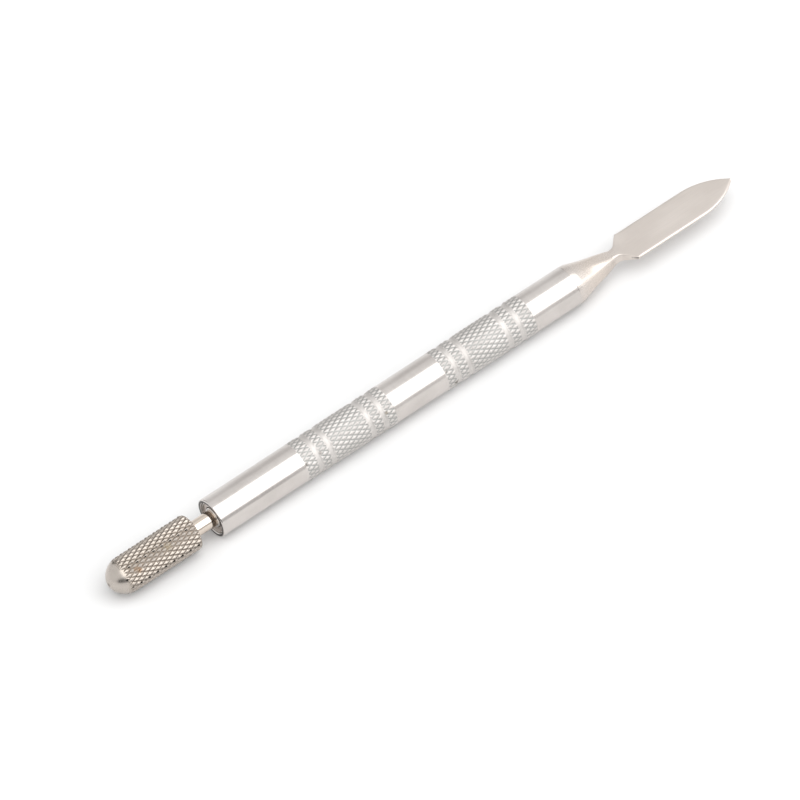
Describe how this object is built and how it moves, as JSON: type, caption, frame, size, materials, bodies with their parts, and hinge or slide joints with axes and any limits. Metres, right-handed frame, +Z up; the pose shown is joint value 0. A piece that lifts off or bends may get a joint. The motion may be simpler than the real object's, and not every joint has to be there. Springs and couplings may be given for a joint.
{
  "type": "cuticle pusher",
  "caption": "Double-ended metal cuticle pusher: flat spear blade, knurled round handle and a free-turning knurled file head on a ball-bearing spindle.",
  "frame": {"origin": "under the middle of the tool's length, on the plane it lies on", "axes": "+X along the tool from the file head to the blade, +Z up from the plane it lies on and square to the blade's flat, +Y completes the right hand"},
  "size_m": [0.1332, 0.0076, 0.0075],
  "materials": {
    "handle_steel": "turned and polished stainless steel, knurled grips",
    "blade_steel": "satin stainless steel with a faint lengthwise grain",
    "file_steel": "coarse knurled, warm nickel tint",
    "spindle_steel": "polished, pale champagne nickel",
    "bearing_steel": "ground bearing steel",
    "shield_steel": "pressed sheet, darkened by oil",
    "ball_steel": "mirror polished balls",
    "cage_brass": "pressed brass",
    "spring_steel": "blued spring steel"
  },
  "bodies": {
    "handle": {"handle_body": "handle_steel", "pusher_blade": "blade_steel", "outer_spacer": "bearing_steel", "front_bearing_outer_ring": "bearing_steel", "front_bearing_mouth_shield": "shield_steel", "front_bearing_back_shield": "shield_steel", "rear_bearing_outer_ring": "bearing_steel", "rear_bearing_mouth_shield": "shield_steel", "rear_bearing_back_shield": "shield_steel"},
    "rotor": {"file_head": "file_steel", "spindle": "spindle_steel", "front_bearing_inner_ring": "bearing_steel", "rear_bearing_inner_ring": "bearing_steel", "inner_spacer": "bearing_steel", "thrust_washer": "spring_steel", "retaining_clip": "spring_steel"},
    "front_cage": {"front_bearing_cage": "cage_brass", "front_bearing_balls": "ball_steel"},
    "rear_cage": {"rear_bearing_cage": "cage_brass", "rear_bearing_balls": "ball_steel"}
  },
  "joints": [
    {"name": "head_spin", "type": "hinge", "parent": "handle", "child": "rotor", "pos_m": [-0.0447, 0, 0.00376], "axis": [1, 0, 0], "continuous": true},
    {"name": "front_cage_spin", "type": "hinge", "parent": "handle", "child": "front_cage", "pos_m": [-0.04315, 0, 0.00376], "axis": [1, 0, 0], "continuous": true},
    {"name": "rear_cage_spin", "type": "hinge", "parent": "handle", "child": "rear_cage", "pos_m": [-0.03365, 0, 0.00376], "axis": [1, 0, 0], "continuous": true}
  ],
  "couplings": [
    {"joint": "front_cage_spin", "follows": "head_spin", "ratio": 0.38889},
    {"joint": "rear_cage_spin", "follows": "head_spin", "ratio": 0.38889}
  ]
}
